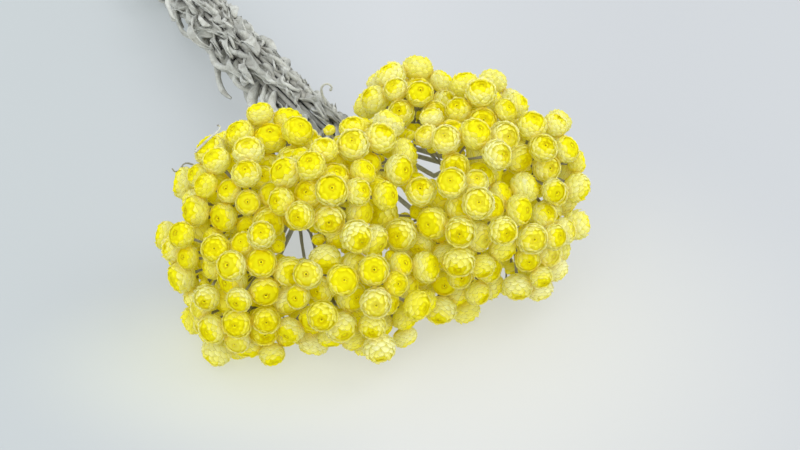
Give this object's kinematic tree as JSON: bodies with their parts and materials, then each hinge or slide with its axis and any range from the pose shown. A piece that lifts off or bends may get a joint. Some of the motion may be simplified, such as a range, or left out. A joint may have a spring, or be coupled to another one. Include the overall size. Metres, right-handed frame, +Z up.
{
  "type": "dried italian strawflower",
  "caption": "A dried bunch of Italian strawflower: clusters of small papery yellow globes on grey felted, leafy stems, tied near the cut ends.",
  "frame": {"origin": "The middle of the bounding box's base, on the surface that the bunch lies on.", "axes": "+X runs along the stems, from the cut ends to the flowers, and is the longest extent; +Y is across the bunch; +Z is up from the surface that it lies on."},
  "size_m": [0.2564, 0.1048, 0.0549],
  "materials": {
    "paper": "dry papery scales, saturated yellow inside and pale lemon outside",
    "felt": "dry stems and leaves covered in grey-green woolly felt",
    "twine": "natural jute twine"
  },
  "bodies": {
    "root": {"stem_01": "felt", "flowers_01": "paper", "stem_02": "felt", "flowers_02": "paper", "stem_03": "felt", "flowers_03": "paper", "stem_04": "felt", "flowers_04": "paper", "stem_05": "felt", "flowers_05": "paper", "stem_06": "felt", "flowers_06": "paper", "stem_07": "felt", "flowers_07": "paper", "stem_08": "felt", "flowers_08": "paper", "stem_09": "felt", "flowers_09": "paper", "stem_10": "felt", "flowers_10": "paper", "stem_11": "felt", "flowers_11": "paper", "stem_12": "felt", "flowers_12": "paper", "stem_13": "felt", "flowers_13": "paper", "stem_14": "felt", "flowers_14": "paper", "stem_15": "felt", "flowers_15": "paper", "stem_16": "felt", "flowers_16": "paper", "stem_17": "felt", "flowers_17": "paper", "stem_18": "felt", "flowers_18": "paper", "tie": "twine"}
  },
  "joints": []
}
